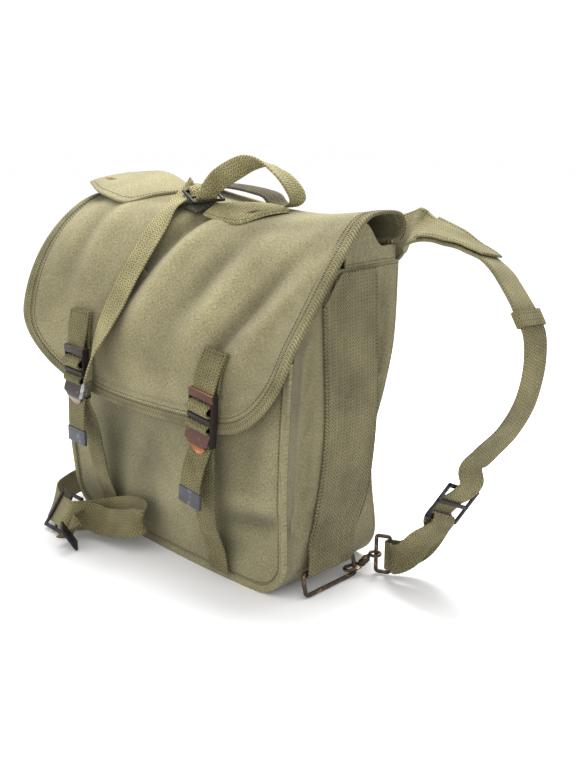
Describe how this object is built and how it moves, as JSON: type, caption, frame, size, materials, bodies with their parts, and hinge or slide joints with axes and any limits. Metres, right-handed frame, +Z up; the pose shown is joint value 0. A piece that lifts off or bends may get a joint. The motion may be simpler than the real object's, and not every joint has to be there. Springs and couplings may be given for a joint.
{
  "type": "haversack",
  "caption": "Canvas haversack standing on its base, with a strapped-down flap, webbing bands at the sides, a carry handle and buckled shoulder straps.",
  "frame": {"origin": "middle of the flat base, on the ground", "axes": "+Z up, the front with its closing straps faces -Y, +X is to the right of someone who looks at the front"},
  "size_m": [0.4469, 0.2469, 0.3378],
  "materials": {
    "canvas": "heavy cotton canvas, dry and matt",
    "webbing": "herringbone cotton webbing, matt",
    "dark_webbing": "worn cotton webbing, matt",
    "dark_bronze": "darkened wire, worn bright on its edges",
    "worn_brown_paint": "brown lacquer worn to orange on the lip",
    "blackened_steel": "black oxide with light wear",
    "strap_tip": "grey pressed metal, satin"
  },
  "bodies": {
    "root": {"front_panel": "canvas", "back_panel": "canvas", "gusset": "canvas", "mouth_collar": "canvas", "flap": "canvas", "flap_binding": "webbing", "side_web_right": "webbing", "side_web_left": "webbing", "wire_loop_right": "dark_bronze", "wire_loop_left": "dark_bronze", "closing_tab_right": "webbing", "closing_buckle_right": "worn_brown_paint", "closing_strap_right": "webbing", "closing_tip_right": "strap_tip", "closing_tab_left": "webbing", "closing_buckle_left": "worn_brown_paint", "closing_strap_left": "webbing", "closing_tip_left": "strap_tip", "top_pad_left": "canvas", "top_pad_right": "webbing", "carry_handle": "dark_webbing", "top_buckle": "blackened_steel", "top_buckle_tab": "dark_webbing", "top_strap": "webbing", "top_strap_tip": "strap_tip", "shoulder_root_right": "webbing", "root_overlay_right": "webbing", "keeper_right": "webbing", "shoulder_strap_right": "webbing", "slider_right": "blackened_steel", "strap_ring_right": "dark_bronze", "snap_hook_right": "dark_bronze", "shoulder_root_left": "webbing", "keeper_left": "webbing", "shoulder_strap_left": "webbing", "slider_left": "blackened_steel", "strap_tip_left": "strap_tip"}
  },
  "joints": []
}
